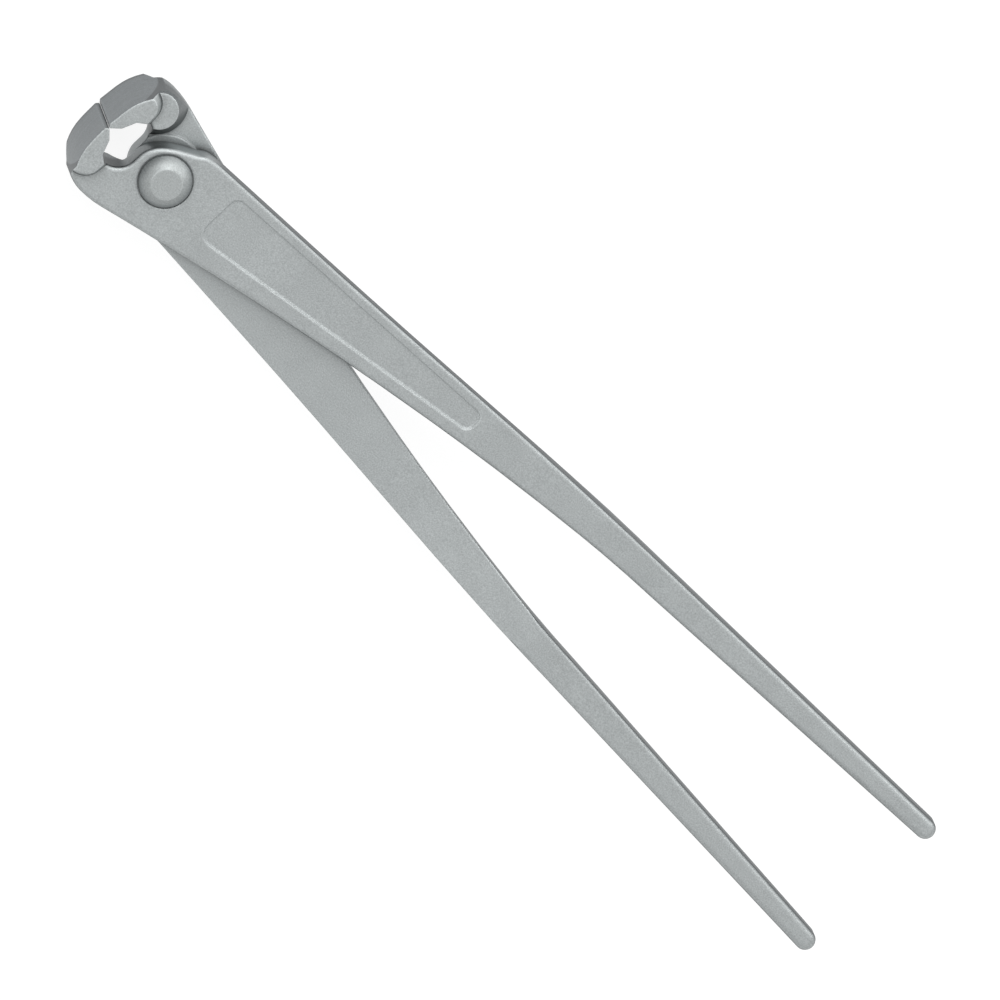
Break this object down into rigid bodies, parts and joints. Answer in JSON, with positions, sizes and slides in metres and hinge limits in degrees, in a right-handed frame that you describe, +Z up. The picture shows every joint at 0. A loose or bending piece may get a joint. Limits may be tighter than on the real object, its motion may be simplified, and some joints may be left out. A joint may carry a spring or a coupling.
{
  "type": "rebar tying pliers",
  "caption": "Forged end-cutting nipper for rebar tie wire, with a riveted lap joint, full-width jaws and long plain curved handles, one carrying a bare recessed panel",
  "frame": {"origin": "middle of the tool's length and width, at the level of the jaws' lower side", "axes": "+X to the jaws along the tool, +Y to the tool's left, +Z up along the joint rivet, out of the front face"},
  "size_m": [0.3, 0.049, 0.024],
  "materials": {
    "arm_steel": "satin grey, blasted and phosphated",
    "rivet_steel": "satin grey"
  },
  "bodies": {
    "front_body": {"front_arm": "arm_steel", "joint_rivet": "rivet_steel"},
    "rear_body": {"rear_arm": "arm_steel"}
  },
  "joints": [
    {"name": "arm_pivot", "type": "hinge", "parent": "front_body", "child": "rear_body", "pos_m": [0.1268, 0, 0.012], "axis": [0, 0, -1], "range_deg": [0, 45]}
  ]
}
